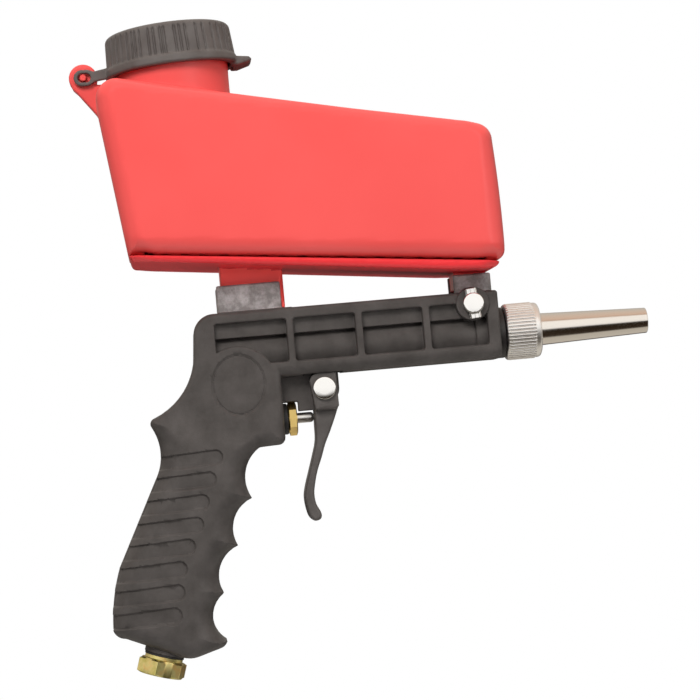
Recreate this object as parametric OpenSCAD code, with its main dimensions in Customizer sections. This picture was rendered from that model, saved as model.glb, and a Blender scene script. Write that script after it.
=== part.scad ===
// Gravity-feed media blasting gun: a moulded body with a pistol grip, a lever valve, a nozzle held by a
// knurled nut, a media regulator across the barrel and a plastic hopper on top.
// +X points along the barrel to the muzzle and +Z is up. The origin is the centre of the air inlet's
// mouth. The plane y = 0 cuts the gun in half along its length.

/* [Barrel] */
// Height of the barrel's bore axis above the air inlet
bore_z = 135.7; // [135.3:0.1:136.1]
// Front face of the barrel
barrel_front = 160.5; // [160.1:0.1:160.9]
// Half of the barrel's width
barrel_half_w = 14; // [13.8:0.1:14.4]
// Top face of the barrel
barrel_top = 154.1; // [153.9:0.1:154.3]
// Lowest face of the barrel
barrel_bottom = 124.3; // [124.1:0.1:124.7]
// Radius of the mixing chamber behind the nozzle
mixing_r = 6.9; // [6.7:0.05:6.95]
// Radius of the air gallery behind the jet
gallery_r = 4; // [3:0.1:4.4]
// Number of lightening pockets on each side
pocket_count = 4; // [3:1:4]

/* [Grip] */
// Half of the grip's width at its middle
grip_half_w = 15.5; // [14.5:0.1:16]
// Half of the grip's width at its front and back edges
grip_edge_half_w = 11.5; // [10:0.1:12.5]
// Backward lean of the air passage in the grip, in degrees
inlet_tilt = 17; // [16.5:0.1:17.5]
// Depth of each finger hollow
finger_sag = 4.9; // [3.5:0.1:5.2]

/* [Valve] */
// Height of the valve's axis
valve_z = 106; // [105.8:0.1:106.2]
// Front face of the valve nose
nose_x = 63; // [62.8:0.1:63.2]
// Radius of the valve stem
stem_r = 2.25; // [2:0.05:2.4]
// Number of coils in the valve spring
spring_turns = 6; // [4:1:7]

/* [Trigger] */
// Distance of the trigger pin from the inlet along the barrel
pin_x = 81.6; // [81.4:0.1:81.8]
// Height of the trigger pin
pin_z = 117.9; // [117.7:0.1:118.1]
// Radius of the trigger pin
pin_r = 2.5; // [2:0.05:2.8]
// Half of the width of the trigger's forked head
fork_half_w = 10; // [9:0.1:10.5]
// Half of the width of the trigger's blade
blade_half_w = 6; // [5:0.1:7]

/* [Nozzle] */
// Tip of the nozzle
nozzle_tip = 227.6; // [220:0.1:232]
// Radius of the nozzle's bore
nozzle_bore_r = 3; // [2:0.1:3.4]
// Radius over the knurl of the nozzle nut
nut_r = 12.4; // [12.2:0.1:12.8]
// Number of teeth in the nut's knurl
nut_teeth = 48; // [36:1:64]

/* [Regulator] */
// Distance of the regulator's axis from the inlet along the barrel
regulator_x = 149.1; // [148.8:0.1:149.4]
// Height of the regulator's axis
regulator_z = 148.9; // [148.7:0.1:149.1]
// Radius of the regulator's shaft
regulator_r = 3.9; // [3.6:0.05:4]

/* [Hopper] */
// Half of the hopper's width
hopper_half_w = 32; // [30:0.5:34]
// Half of the width of the hopper's lower band
band_half_w = 27.5; // [26:0.5:28]
// Thickness of the hopper's walls
hopper_wall = 2.2; // [1.8:0.1:2.6]
// Distance of the filling neck from the inlet along the barrel
neck_x = 27.3; // [27:0.1:27.6]
// Radius of the filling neck
neck_r = 25; // [24.5:0.1:25]
// Tilt of the lid on the neck, in degrees: its strap holds it lower at the rear
lid_tilt = 3.3; // [0:0.1:3.3]

/* [Hidden] */
$fn = 64;
running_gap = 0.05;   // radial clearance of a turning or sliding fit
free_gap = 0.3;       // space between pieces that move past each other

// Barrel
barrel_rear = 36;
barrel_edge_r = 4.5;
pocket_last = 155.2;
pocket_pitch = 29.9;
pocket_rib = 3;
pocket_extra = 3.8;      // the pocket at the rear is this much longer
pocket_low_z = 130.5;
pocket_step_z = 142.7;
pocket_high_z = 149.5;
pocket_shallow = 3;
pocket_deep = 5;
collar_r = 11.2;
collar_front = 163.3;
snout_r = 9.5;
snout_front = 171.1;
disc_x = 44.6;
disc_z = 122.3;
disc_r = 11.5;
disc_rim_r = 16.6;

// Grip: the peaks between the fingers are evenly spaced down its front
first_peak = [46.3, 73.1];
peak_step = [-7.85, -19.95];
toe = [30.3, 12.5];
heel = [-18.5, 22];
tail_tip = [5.3, 107.7];
slot_count = 8;
slot_pitch = [-3.3, -9.5];
slot_first = [34.5, 92.4];
slot_depth = 0.8;
slot_r = 3.4;
slot_rise = 2.6;

// Brackets that hold the hopper's feet
bracket_half_w = 11;
bracket_wall = 2;
rear_bracket = [38.4, 66.2];
rear_bracket_top = 166;
front_bracket = [142, 158.9];
front_bracket_top = 162.1;
front_bracket_r = 4;
foot_half_w = bracket_half_w - bracket_wall - 0.2;
rear_foot = [40.6, 67.7];
front_foot = [142.6, 156.7];
spout_r = 4.5;
screw_x = 50;
spout_seat = 1.4;

// Valve
chamber_r = 5;
chamber_rear = 24;
seat_rear = 44;
seat_front = 47;
gland_bore_r = 5.5;
gland_rear = 54;
washer_front = nose_x + 2;
gland_front = 69;
gland_room_r = 7.8;
stem_rear = 34;
stem_tip = 76.5;
poppet_rear = 36;
poppet_r = 4.5;
riser_x = 50.5;
riser_r = 3;

// Trigger
web_half_w = 3.5;
web_bottom = 108.9;
fork_clear_r = 11.9;
pin_head_r = 4.8;

// Nozzle and jet
flange_rear = 172.7;
flange_front = 174.2;
flange_r = 9.3;
nozzle_root_r = 7.1;
nozzle_tip_r = 5.6;
nut_rear = 163.6;
nut_front = 179.2;
jet_rear = 110;
jet_flange = 126;
jet_tip = 142;

// Regulator
regulator_boss_r = 7.3;
regulator_boss_half = 15;
regulator_button_r = 4.5;
regulator_bar = [5, 13.2];  // the bar that the fingers turn
regulator_bar_turn = 6;
regulator_hole_r = 2.6;
media_r = 3.2;

// Hopper: the outline of the upper part, and the line where the lower part joins it
joint_rear = [1.9, 181.3];
joint_front = [161.2, 165.9];
hopper_top = [
    joint_front, [163.8, 170.1], [163.9, 193], [162.6, 218.6], [159.8, 223.3], [154.2, 225.9], [2.2, 257.4],
    [-2, 256.5], [-5, 253.3], [-6.1, 248.5], [-5.7, 241], joint_rear
];
hopper_corner_r = 9;
hopper_rear = -6.2;
hopper_front = 163.9;
band_bottom = [[4.9, 177.9], [138.7, 163.6], [157.2, 162.8]];
neck_top = 276;
neck_shoulder = 264;
neck_draft = 1;
mouth_r = 22.5;
lug = [-11.3, 262.1];
lug_r = 6.2;
lug_half_w = 3;
stud_r = 1.6;

// Lid
lid_r = 28.4;
lid_rim_r = 29.3;
lid_low = 262;
lid_rim_top = 265;
lid_edge = 277.3;
lid_high = 281;
lid_inner_r = 25.8;
lid_room_top = 277.8;
lid_teeth = 48;
strap_y = [-5.5, -3.4];

// ---------- outline helpers ----------

// Points along the arc from p towards q, which it leaves out. A positive sag bows the arc to the left
// of the way from p to q.
function bow(p, q, sag, n = 8) =
    let (chord = q - p, len = norm(chord), left = [-chord.y, chord.x] / len)
    let (r = (len * len / 4 + sag * sag) / (2 * abs(sag)))
    let (centre = (p + q) / 2 + left * (sag - sign(sag) * r))
    let (start = atan2(p.y - centre.y, p.x - centre.x))
    let (sweep = -sign(sag) * 2 * asin(min(1, len / (2 * r))))
    [for (i = [0:n - 1]) centre + r * [cos(start + sweep * i / n), sin(start + sweep * i / n)]];

function unit(v) = v / norm(v);

// The outline moved inwards by d. Its points run anticlockwise.
function inset(pts, d) =
    let (n = len(pts))
    [for (i = [0:n - 1])
        let (a = unit(pts[i] - pts[(i + n - 1) % n]), b = unit(pts[(i + 1) % n] - pts[i]))
        let (left_a = [-a.y, a.x], left_b = [-b.y, b.x])
        pts[i] + d * (left_a + left_b) / (1 + left_a * left_b)];

// A wheel outline with a tooth at every step, for knurls and flutes
function toothed(r, depth, teeth) =
    [for (i = [0:2 * teeth - 1]) (r - depth * (i % 2)) * [cos(i * 180 / teeth), sin(i * 180 / teeth)]];

// A side view, drawn as X and Z, made into a slab that reaches half_w to each side
module slab(half_w) {
    rotate([90, 0, 0]) linear_extrude(2 * half_w, center = true) children();
}

// A round bar or bore along X
module rod_x(from, to, r, z) {
    translate([from, 0, z]) rotate([0, 90, 0]) cylinder(to - from, r = r);
}

// A round bar or bore along Y
module rod_y(from, to, r, x, z) {
    translate([x, to, z]) rotate([90, 0, 0]) cylinder(to - from, r = r);
}

module ring_x(from, to, outer_r, inner_r, z) {
    difference() {
        rod_x(from, to, outer_r, z);
        rod_x(from - 1, to + 1, inner_r, z);
    }
}

module ring_y(from, to, outer_r, inner_r, x, z) {
    difference() {
        rod_y(from, to, outer_r, x, z);
        rod_y(from - 1, to + 1, inner_r, x, z);
    }
}

module ring_z(from, to, outer_r, inner_r, x) {
    translate([x, 0, from]) difference() {
        cylinder(to - from, r = outer_r);
        translate([0, 0, -1]) cylinder(to - from + 2, r = inner_r);
    }
}

// A flat round-cornered rectangle about the origin
module rounded(w, h, r) {
    square([w - 2 * r, h], center = true);
    square([w, h - 2 * r], center = true);
    for (x = [-1, 1], y = [-1, 1])
        translate([x * (w / 2 - r), y * (h / 2 - r)]) circle(r);
}

module block(low, high) {
    translate(low) cube(high - low);
}

// Axes of the air inlet: its own z runs up the grip
module along_inlet() {
    rotate([0, inlet_tilt, 0]) children();
}

// ---------- body ----------

// Side view of the grip, the rear of the body and the valve nose, clockwise from the nose
frame_outline = concat(
    [[nose_x, 127]],
    bow([nose_x, 98.4], [59.8, 95], 1),
    bow([51.4, 94.7], first_peak, -4.5),
    bow(first_peak, first_peak + peak_step, -finger_sag),
    bow(first_peak + peak_step, first_peak + 2 * peak_step, -finger_sag),
    bow(first_peak + 2 * peak_step, toe, -5.5),
    bow(toe, [26.3, 9.5], 0.7),
    bow([17.5, 6.9], [9.5, 7.6], 0.7),
    bow([-13.2, 17.6], heel, 1.2),
    bow(heel, [-12.5, 50.7], 1.3),
    bow([5.1, 84.4], tail_tip, -3.2),
    bow(tail_tip, [7, 111.2], 0.9),
    bow([7, 111.2], [26.4, 137.8], -4.8),
    bow([27.1, 146.9], [barrel_rear, barrel_top], 2),
    [[barrel_rear, barrel_top], [70, barrel_top], [70, 127]]
);

module barrel_section() {
    edge = barrel_edge_r;
    middle = (barrel_bottom + barrel_top) / 2;
    intersection() {
        translate([0, middle]) square([2 * barrel_half_w, barrel_top - barrel_bottom], center = true);
        translate([0, middle + edge])
            rounded(2 * barrel_half_w, barrel_top - barrel_bottom + 2 * edge, edge);
    }
}

module barrel_solid() {
    translate([barrel_rear, 0, 0]) rotate([90, 0, 90])
        linear_extrude(barrel_front - barrel_rear) barrel_section();
    rod_x(barrel_front - 1, collar_front, collar_r, bore_z);
    rod_x(barrel_front - 1, snout_front, snout_r, bore_z);
}

module grip_solid() {
    slab(grip_edge_half_w) polygon(frame_outline);
    // The head of the frame is as wide as the barrel
    intersection() {
        slab(barrel_half_w) polygon(frame_outline);
        block([14, -20, 96], [90, 20, 160]);
    }
    // The palm swells between the grip's edges
    intersection() {
        slab(grip_half_w) polygon(frame_outline);
        translate([3.5, 0, 0]) along_inlet() linear_extrude(110) rounded(37, 2 * grip_half_w, 12);
    }
}

// Pockets are counted from the muzzle. Each has a shallow upper half and a deep lower half.
module pocket(side, index) {
    right = pocket_last - index * pocket_pitch;
    long = pocket_pitch - pocket_rib + (index == pocket_count - 1 ? pocket_extra : 0);
    for (half = [[pocket_low_z, pocket_step_z, pocket_deep], [pocket_step_z, pocket_high_z, pocket_shallow]])
        block([right - long, side > 0 ? barrel_half_w - half[2] : -barrel_half_w - 1, half[0]],
              [right, side > 0 ? barrel_half_w + 1 : half[2] - barrel_half_w, half[1]]);
}

module grip_slot(index) {
    front = slot_first + index * slot_pitch;
    translate([front.x, 0, front.y]) rotate([0, -slot_rise, 0]) rotate([90, 0, 0])
        linear_extrude(3 * grip_half_w, center = true) {
            circle(slot_r);
            translate([-60, -slot_r]) square([60, 2 * slot_r]);
        }
}

// The skin of the grip that the slots are cut into
module grip_skin() {
    for (side = [-1, 1])
        block([-30, side > 0 ? grip_half_w - slot_depth : -grip_half_w - 1, 26],
              [38, side > 0 ? grip_half_w + 1 : slot_depth - grip_half_w, 104]);
}

module web_solid() {
    top = barrel_bottom + 3;
    slab(web_half_w) {
        translate([60, web_bottom]) square([pin_x - 60, top - web_bottom]);
        translate([pin_x, pin_z]) circle(7);
        translate([pin_x, pin_z]) square([7, top - pin_z]);
    }
}

module rear_bracket_solid() {
    difference() {
        block([rear_bracket[0], -bracket_half_w, barrel_top - 1],
              [rear_bracket[1], bracket_half_w, rear_bracket_top]);
        block([rear_bracket[0] + bracket_wall, bracket_wall - bracket_half_w, barrel_top],
              [rear_bracket[1] + 1, bracket_half_w - bracket_wall, rear_bracket_top + 1]);
    }
}

module front_bracket_solid() {
    long = front_bracket[1] - front_bracket[0];
    tall = front_bracket_top - barrel_top + 1;
    difference() {
        intersection() {
            translate([front_bracket[0], -bracket_half_w, barrel_top - 1])
                cube([long, 2 * bracket_half_w, tall]);
            translate([front_bracket[1] - 20, 0, barrel_top - 1])
                linear_extrude(tall) rounded(40, 2 * bracket_half_w, front_bracket_r);
        }
        block([front_bracket[0] - 1, bracket_wall - bracket_half_w, barrel_top],
              [front_bracket[1] - bracket_wall, bracket_half_w - bracket_wall, front_bracket_top + 1]);
    }
}

module air_and_media_ways() {
    // Barrel: gallery, seat of the jet and mixing chamber
    rod_x(46, jet_flange, gallery_r, bore_z);
    rod_x(jet_rear, barrel_front, 6.5, bore_z);
    rod_x(jet_flange, snout_front + 1, mixing_r, bore_z);
    // Grip: from the inlet up to the valve
    along_inlet() cylinder(valve_z / cos(inlet_tilt), r = gallery_r);
    along_inlet() cylinder(22, r = 7.5);
    // Valve: chamber behind the seat, bore in front of it and riser to the gallery
    rod_x(chamber_rear, seat_rear + 1, chamber_r, valve_z);
    rod_x(seat_rear, nose_x + 1, gland_bore_r, valve_z);
    translate([riser_x, 0, valve_z]) cylinder(bore_z - valve_z, r = riser_r);
    // Media: from the outlet seal down to the mixing chamber, through the regulator
    translate([regulator_x, 0, bore_z]) cylinder(barrel_top - bore_z + 1, r = media_r);
    rod_y(-20, 20, regulator_r + running_gap, regulator_x, regulator_z);
    // Tapped hole for the hopper's screw
    translate([screw_x, 0, 143]) cylinder(12, r = pin_r);
}

module gun_body() {
    color([0.27, 0.25, 0.24]) difference() {
        union() {
            difference() {
                union() {
                    barrel_solid();
                    grip_solid();
                }
                for (side = [-1, 1], index = [0:pocket_count - 1]) pocket(side, index);
                intersection() {
                    grip_skin();
                    union() for (index = [0:slot_count - 1]) grip_slot(index);
                }
                // Room for the trigger's head under the barrel
                block([pin_x - 8.6, -fork_half_w - 0.7, barrel_bottom - 1],
                      [pin_x + 8.6, fork_half_w + 0.7, pin_z + 8.4]);
            }
            ring_y(-barrel_half_w, barrel_half_w, disc_rim_r, disc_r, disc_x, disc_z);
            rod_y(-barrel_half_w + 0.5, barrel_half_w - 0.5, disc_r + 1, disc_x, disc_z);
            web_solid();
            rear_bracket_solid();
            front_bracket_solid();
            rod_y(-regulator_boss_half, regulator_boss_half, regulator_boss_r, regulator_x, regulator_z);
            // Flat seat for the inlet's washer
            along_inlet() translate([0, 0, inlet_washer_h]) cylinder(6, r = inlet_seat_r);
        }
        along_inlet() translate([0, 0, -5]) cylinder(inlet_washer_h + 5, r = inlet_seat_r);
        // Room for the gland nut in the front of the web
        rod_x(nose_x, gland_front + 1, gland_room_r, valve_z);
        air_and_media_ways();
        rod_y(-20, 20, pin_r, pin_x, pin_z);
        front_foot_space();
        for (side = [-1, 1])
            rod_y(side > 0 ? barrel_half_w - 0.5 : -20, side > 0 ? 20 : 0.5 - barrel_half_w,
                  disc_r, disc_x, disc_z);
    }
}

// The regulator's boss may not reach into the bracket where the hopper's front foot stands
module front_foot_space() {
    block([front_foot[0] - 1, -foot_half_w - 0.2, barrel_top],
          [front_bracket[1] - bracket_wall, foot_half_w + 0.2, front_bracket_top]);
}

// ---------- air inlet ----------

inlet_hex_h = 6.8;
inlet_neck_h = 8.4;
inlet_washer_h = 9.4;
inlet_seat_r = 8.9;

module inlet_fitting() {
    color([0.72, 0.65, 0.36]) along_inlet() difference() {
        union() {
            rotate([0, 0, 14]) cylinder(inlet_hex_h, r = 19 / 2 / cos(30), $fn = 6);
            cylinder(inlet_neck_h, r = 8.25);
            cylinder(22, r = 7.5);
        }
        translate([0, 0, -1]) cylinder(13, r = 5.72);
        cylinder(23, r = gallery_r);
    }
}

module inlet_washer() {
    color([0.1, 0.1, 0.1]) along_inlet() ring_z(inlet_neck_h, inlet_washer_h, 8.6, 7.52, 0);
}

// ---------- valve ----------

module valve_seat() {
    color([0.8, 0.62, 0.25]) ring_x(seat_rear, seat_front, gland_bore_r, 3.4, valve_z);
}

module valve_stem() {
    dome_h = 1;
    dome_bow = 0.26;
    length = stem_tip - stem_rear;
    color([0.8, 0.8, 0.8]) translate([stem_rear, 0, valve_z]) rotate([0, 90, 0]) rotate_extrude()
        polygon(concat([[0, 0], [stem_r, 0]],
                       bow([stem_r, length - dome_h], [0, length], -dome_bow), [[0, length]]));
}

module valve_poppet() {
    color([0.8, 0.62, 0.25]) ring_x(poppet_rear, seat_rear - 1.1, poppet_r, stem_r, valve_z);
}

module poppet_seal() {
    color([0.1, 0.1, 0.1]) ring_x(seat_rear - 1.1, seat_rear - 0.1, poppet_r, stem_r, valve_z);
}

// A wire of six sides swept along a helix between the chamber's end and the poppet
module valve_spring() {
    wire_r = 0.45;
    coil_r = 3.6;
    low = chamber_rear + 0.1 + wire_r;
    high = poppet_rear - 0.1 - wire_r;
    sides = 6;
    steps = 12 * spring_turns;
    points = [for (i = [0:steps], j = [0:sides - 1])
        let (turn = 30 * i, r = coil_r + wire_r * cos(60 * j))
        [low + (high - low) * i / steps + wire_r * sin(60 * j), r * cos(turn), r * sin(turn)]];
    walls = [for (i = [0:steps - 1], j = [0:sides - 1])
        [i * sides + j, (i + 1) * sides + j, (i + 1) * sides + (j + 1) % sides, i * sides + (j + 1) % sides]];
    near_end = [for (j = [0:sides - 1]) j];
    far_end = [for (j = [0:sides - 1]) steps * sides + sides - 1 - j];
    color([0.75, 0.75, 0.75]) translate([0, 0, valve_z])
        polyhedron(points, concat(walls, [near_end, far_end]));
}

module gland_nut() {
    color([0.83, 0.65, 0.3]) difference() {
        union() {
            translate([washer_front, 0, valve_z]) rotate([0, 90, 0])
                cylinder(gland_front - washer_front, r = 13 / 2 / cos(30), $fn = 6);
            rod_x(gland_rear, washer_front, gland_bore_r, valve_z);
        }
        rod_x(gland_rear - 1, gland_front + 1, stem_r + running_gap, valve_z);
        rod_x(gland_rear - 1, gland_rear + 3, 4, valve_z);
    }
}

module gland_washer() {
    color([0.1, 0.1, 0.1]) ring_x(nose_x, washer_front, 6.6, gland_bore_r, valve_z);
}

module stem_seal() {
    color([0.1, 0.1, 0.1]) ring_x(gland_rear, gland_rear + 3, 4, stem_r + running_gap, valve_z);
}

// ---------- trigger ----------

cheek_outline = concat(
    bow([86.4, 108.6], [87.4, 110], -0.2, 2),
    [[87.4, 110], [87.2, 124.9]],
    bow([79.8, 125.5], [75.4, 121.6], -0.8),
    [[75.4, 121.6], [76.9, 108.6]]
);

blade_outline = concat(
    [[76.9, 110.5]],
    bow([76.6, 103.1], [69.3, 71], 1),
    bow([69.3, 71], [72.2, 60.5], -1),
    bow([72.2, 60.5], [75.8, 63.6], -0.9),
    bow([75.8, 63.6], [73.6, 74], 0.8),
    bow([73.6, 74], [87.2, 108.6], 1),
    [[87.2, 110.5]]
);

module trigger() {
    color([0.3, 0.28, 0.27]) difference() {
        union() {
            slab(fork_half_w) polygon(cheek_outline);
            slab(blade_half_w) polygon(blade_outline);
        }
        // Room for the web, as far as the trigger swings
        slab(web_half_w + free_gap) {
            translate([pin_x, pin_z]) circle(fork_clear_r);
            translate([pin_x - 20, pin_z]) square([40, 20]);
        }
        rod_y(-20, 20, pin_r + running_gap, pin_x, pin_z);
    }
}

module trigger_pin() {
    head_y = -fork_half_w - free_gap;
    color([0.9, 0.9, 0.9]) difference() {
        union() {
            rod_y(head_y, fork_half_w + 2, pin_r, pin_x, pin_z);
            intersection() {
                rod_y(head_y - 1.7, head_y, pin_head_r, pin_x, pin_z);
                translate([pin_x, head_y + 6, pin_z]) sphere(7.7);
            }
        }
        ring_y(fork_half_w + 0.4, fork_half_w + 1.2, 4, pin_r - 0.5, pin_x, pin_z);
    }
}

module pin_clip() {
    color([0.4, 0.4, 0.4]) ring_y(fork_half_w + 0.4, fork_half_w + 1.2, 4.6, pin_r - 0.5, pin_x, pin_z);
}

// ---------- regulator ----------

seal_y = [-9, 7];
seal_w = 2;

module regulator_shaft() {
    head_y = -regulator_boss_half - free_gap;
    color([0.9, 0.9, 0.9]) difference() {
        union() {
            rod_y(head_y - 1, regulator_boss_half + 2.4, regulator_r, regulator_x, regulator_z);
            translate([regulator_x, head_y, regulator_z]) rotate([90, 0, 0])
                rotate([0, 0, regulator_bar_turn]) linear_extrude(1.6) square(regulator_bar, center = true);
            rod_y(head_y - 3.2, head_y, regulator_button_r, regulator_x, regulator_z);
        }
        // Way for the media, open at rest
        translate([regulator_x, 0, regulator_z - 6]) cylinder(12, r = regulator_hole_r);
        for (y = seal_y) ring_y(y, y + seal_w, 5, regulator_r - 1, regulator_x, regulator_z);
        ring_y(regulator_boss_half + 0.5, regulator_boss_half + 1.3, 5, regulator_r - 0.8,
               regulator_x, regulator_z);
    }
}

module regulator_seals() {
    color([0.1, 0.1, 0.1]) for (y = seal_y)
        ring_y(y, y + seal_w, regulator_r, regulator_r - 1, regulator_x, regulator_z);
}

module regulator_clip() {
    color([0.4, 0.4, 0.4])
        ring_y(regulator_boss_half + 0.5, regulator_boss_half + 1.3, 6, regulator_r - 0.8,
               regulator_x, regulator_z);
}

// ---------- jet and nozzle ----------

module air_jet() {
    color([0.8, 0.62, 0.25]) difference() {
        union() {
            rod_x(jet_rear, jet_flange + 2, 6.5, bore_z);
            translate([jet_flange + 2, 0, bore_z]) rotate([0, 90, 0])
                cylinder(jet_tip - jet_flange - 2, r1 = 4.2, r2 = 2.6);
        }
        rod_x(jet_rear - 1, jet_tip + 1, 1.6, bore_z);
        rod_x(jet_rear - 1, jet_flange, 3.2, bore_z);
        ring_x(jet_rear + 3, jet_rear + 5, 7, 5.4, bore_z);
    }
}

module jet_seal() {
    color([0.1, 0.1, 0.1]) ring_x(jet_rear + 3, jet_rear + 5, 6.5, 5.4, bore_z);
}

module nozzle() {
    color([0.82, 0.78, 0.76]) difference() {
        union() {
            rod_x(160.5, flange_rear, mixing_r - 0.1, bore_z);
            rod_x(flange_rear, flange_front, flange_r, bore_z);
            rod_x(flange_front, nut_front + 1, nozzle_root_r, bore_z);
            translate([nut_front + 1, 0, bore_z]) rotate([0, 90, 0])
                cylinder(nozzle_tip - nut_front - 1, r1 = nozzle_root_r, r2 = nozzle_tip_r);
        }
        rod_x(160, nozzle_tip + 1, nozzle_bore_r, bore_z);
        translate([160, 0, bore_z]) rotate([0, 90, 0]) cylinder(9, r1 = 6.2, r2 = nozzle_bore_r);
    }
}

module nozzle_washer() {
    color([0.5, 0.3, 0.2]) ring_x(snout_front + 0.1, flange_rear, flange_r, 7, bore_z);
}

module nozzle_nut() {
    color([0.86, 0.86, 0.86]) difference() {
        translate([nut_rear, 0, bore_z]) rotate([0, 90, 0])
            linear_extrude(nut_front - nut_rear) polygon(toothed(nut_r, 0.5, nut_teeth));
        rod_x(nut_rear - 1, flange_front + free_gap, snout_r + 0.1, bore_z);
        rod_x(nut_rear, nut_front + 1, nozzle_root_r + 0.4, bore_z);
    }
}

// ---------- hopper ----------

// Seen from the side, drawn as X and Z, with the corners at its ends rounded in plan
module hopper_block(outline, half_w, low, high, corner_r) {
    intersection() {
        slab(half_w) polygon(outline);
        translate([(low + high) / 2, 0, 150])
            linear_extrude(115) rounded(high - low, 2 * half_w, corner_r);
    }
}

module hopper_shell() {
    inner = inset(hopper_top, hopper_wall);
    opening = [joint_rear + [7, -2], joint_front + [-6, -2], joint_front + [-6, 8], joint_rear + [7, 8]];
    color([0.93, 0.27, 0.25]) difference() {
        union() {
            hopper_block(hopper_top, hopper_half_w, hopper_rear, hopper_front, hopper_corner_r);
            translate([neck_x, 0, 242]) cylinder(neck_shoulder - 242, r = neck_r);
            translate([neck_x, 0, neck_shoulder])
                cylinder(neck_top - neck_shoulder, r1 = neck_r, r2 = neck_r - neck_draft);
            lid_lug();
        }
        hopper_block(inner, hopper_half_w - hopper_wall, hopper_rear + hopper_wall,
                     hopper_front - hopper_wall, hopper_corner_r - hopper_wall);
        slab(band_half_w - hopper_wall) polygon(opening);
        translate([neck_x, 0, 232]) cylinder(60, r = mouth_r);
    }
}

module lid_lug() {
    slab(lug_half_w) {
        translate(lug) circle(lug_r);
        polygon([lug + [-4.4, -4.4], [-5.6, 245.5], [-1, 250], [-1, 255.5], lug + [5, -3.7]]);
    }
    rod_y(strap_y[0] + 0.6, 0, stud_r, lug.x, lug.y);
}

module hopper_base() {
    tray = concat(band_bottom, [[160.5, 164.3], joint_front, joint_rear]);
    space = [
        joint_rear + [7, 8], joint_rear + [7, -2], [137, 165.7], [155, 164.8], joint_front + [-6, 8]
    ];
    color([0.9, 0.22, 0.2]) difference() {
        union() {
            hopper_block(tray, band_half_w, joint_rear.x, joint_front.x, 6);
            foot(rear_foot, barrel_top, 175);
            foot(front_foot, barrel_top + spout_seat, 164.4);
        }
        slab(band_half_w - hopper_wall) polygon(space);
        translate([regulator_x, 0, 150]) cylinder(30, r = spout_r);
        translate([screw_x, 0, 150]) cylinder(24, r = 2.7);
        translate([screw_x, 0, screw_head_z - 1]) cylinder(20, r = 6);
    }
}

module foot(span, low, high) {
    translate([(span[0] + span[1]) / 2, 0, low])
        linear_extrude(high - low) rounded(span[1] - span[0], 2 * foot_half_w, 1.5);
}

// ---------- lid ----------

module hopper_lid() {
    color([0.3, 0.28, 0.27]) difference() {
        union() {
            tilted_on_neck() lid_cap();
            lid_tab();
            lid_strap();
        }
        tilted_on_neck()
            translate([neck_x, 0, lid_low - 4]) cylinder(lid_room_top - lid_low + 4, r = lid_inner_r);
    }
}

module tilted_on_neck() {
    pivot_z = 270;
    translate([neck_x, 0, pivot_z + 0.3]) rotate([0, -lid_tilt, 0]) translate([-neck_x, 0, -pivot_z])
        children();
}

module lid_cap() {
    translate([neck_x, 0, lid_low]) cylinder(lid_rim_top - lid_low, r = lid_rim_r);
    translate([neck_x, 0, lid_rim_top])
        linear_extrude(lid_edge - lid_rim_top) polygon(toothed(lid_r, 0.8, lid_teeth));
    translate([neck_x, 0, 0]) rotate_extrude()
        polygon(concat([[0, neck_top], [lid_r - 1, neck_top]],
                       bow([lid_r - 1, lid_edge], [lid_r - 4, 279.9], -0.8),
                       bow([lid_r - 4, 279.9], [0, lid_high], -0.3),
                       [[0, lid_high]]));
}

module lid_tab() {
    slab(8) polygon([[51, 261.4], [56, 261.6], [62.6, 263.9], [63, 265], [62, 266.2], [51, 266.3]]);
}

module lid_strap() {
    eye = lug + [0.6, -0.2];
    translate([0, (strap_y[0] + strap_y[1]) / 2, 0]) slab((strap_y[1] - strap_y[0]) / 2)
        difference() {
            union() {
                translate(eye) rounded(9.2, 7.6, 3.2);
                polygon([eye + [3, 2.4], eye + [3, -2.4], [3, 261.4], [3, 266.4]]);
            }
            translate(eye) rounded(5.8, 4.2, 2);
        }
}

// ---------- hopper fastening ----------

screw_head_z = 175;

module spout_seal() {
    color([0.1, 0.1, 0.1]) ring_z(barrel_top, barrel_top + spout_seat, 5.7, spout_r, regulator_x);
}

module hopper_screw() {
    color([0.7, 0.7, 0.7]) difference() {
        union() {
            translate([screw_x, 0, 144]) cylinder(screw_head_z - 144, r = pin_r - 0.02);
            translate([screw_x, 0, screw_head_z]) cylinder(3, r = 4.6);
        }
        translate([screw_x, 0, screw_head_z + 1]) cylinder(3, r = 2, $fn = 6);
    }
}

module screw_washer() {
    color([0.1, 0.1, 0.1]) ring_z(screw_head_z - 1, screw_head_z, 5, pin_r, screw_x);
}

gun_body();
inlet_fitting();
inlet_washer();
valve_seat();
valve_stem();
valve_poppet();
poppet_seal();
valve_spring();
gland_nut();
gland_washer();
stem_seal();
trigger();
trigger_pin();
pin_clip();
regulator_shaft();
regulator_seals();
regulator_clip();
air_jet();
jet_seal();
nozzle();
nozzle_nut();
nozzle_washer();
hopper_shell();
hopper_base();
hopper_lid();
spout_seal();
hopper_screw();
screw_washer();
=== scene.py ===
# Looks of the media blasting gun. Shapes are worked out in millimetres and scaled to metres as meshes.
import math

import bmesh
import bpy
import numpy as np
import openvdb
from mathutils import Matrix, Quaternion, Vector


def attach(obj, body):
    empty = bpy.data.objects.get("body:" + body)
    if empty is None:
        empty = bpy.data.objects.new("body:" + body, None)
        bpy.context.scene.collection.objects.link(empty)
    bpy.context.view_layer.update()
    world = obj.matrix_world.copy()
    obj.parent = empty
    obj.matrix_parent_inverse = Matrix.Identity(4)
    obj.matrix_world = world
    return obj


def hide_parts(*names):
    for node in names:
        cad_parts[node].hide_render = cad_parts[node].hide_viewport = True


MM = 0.001
rng = np.random.default_rng(7)

# ---------- camera ----------

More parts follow.
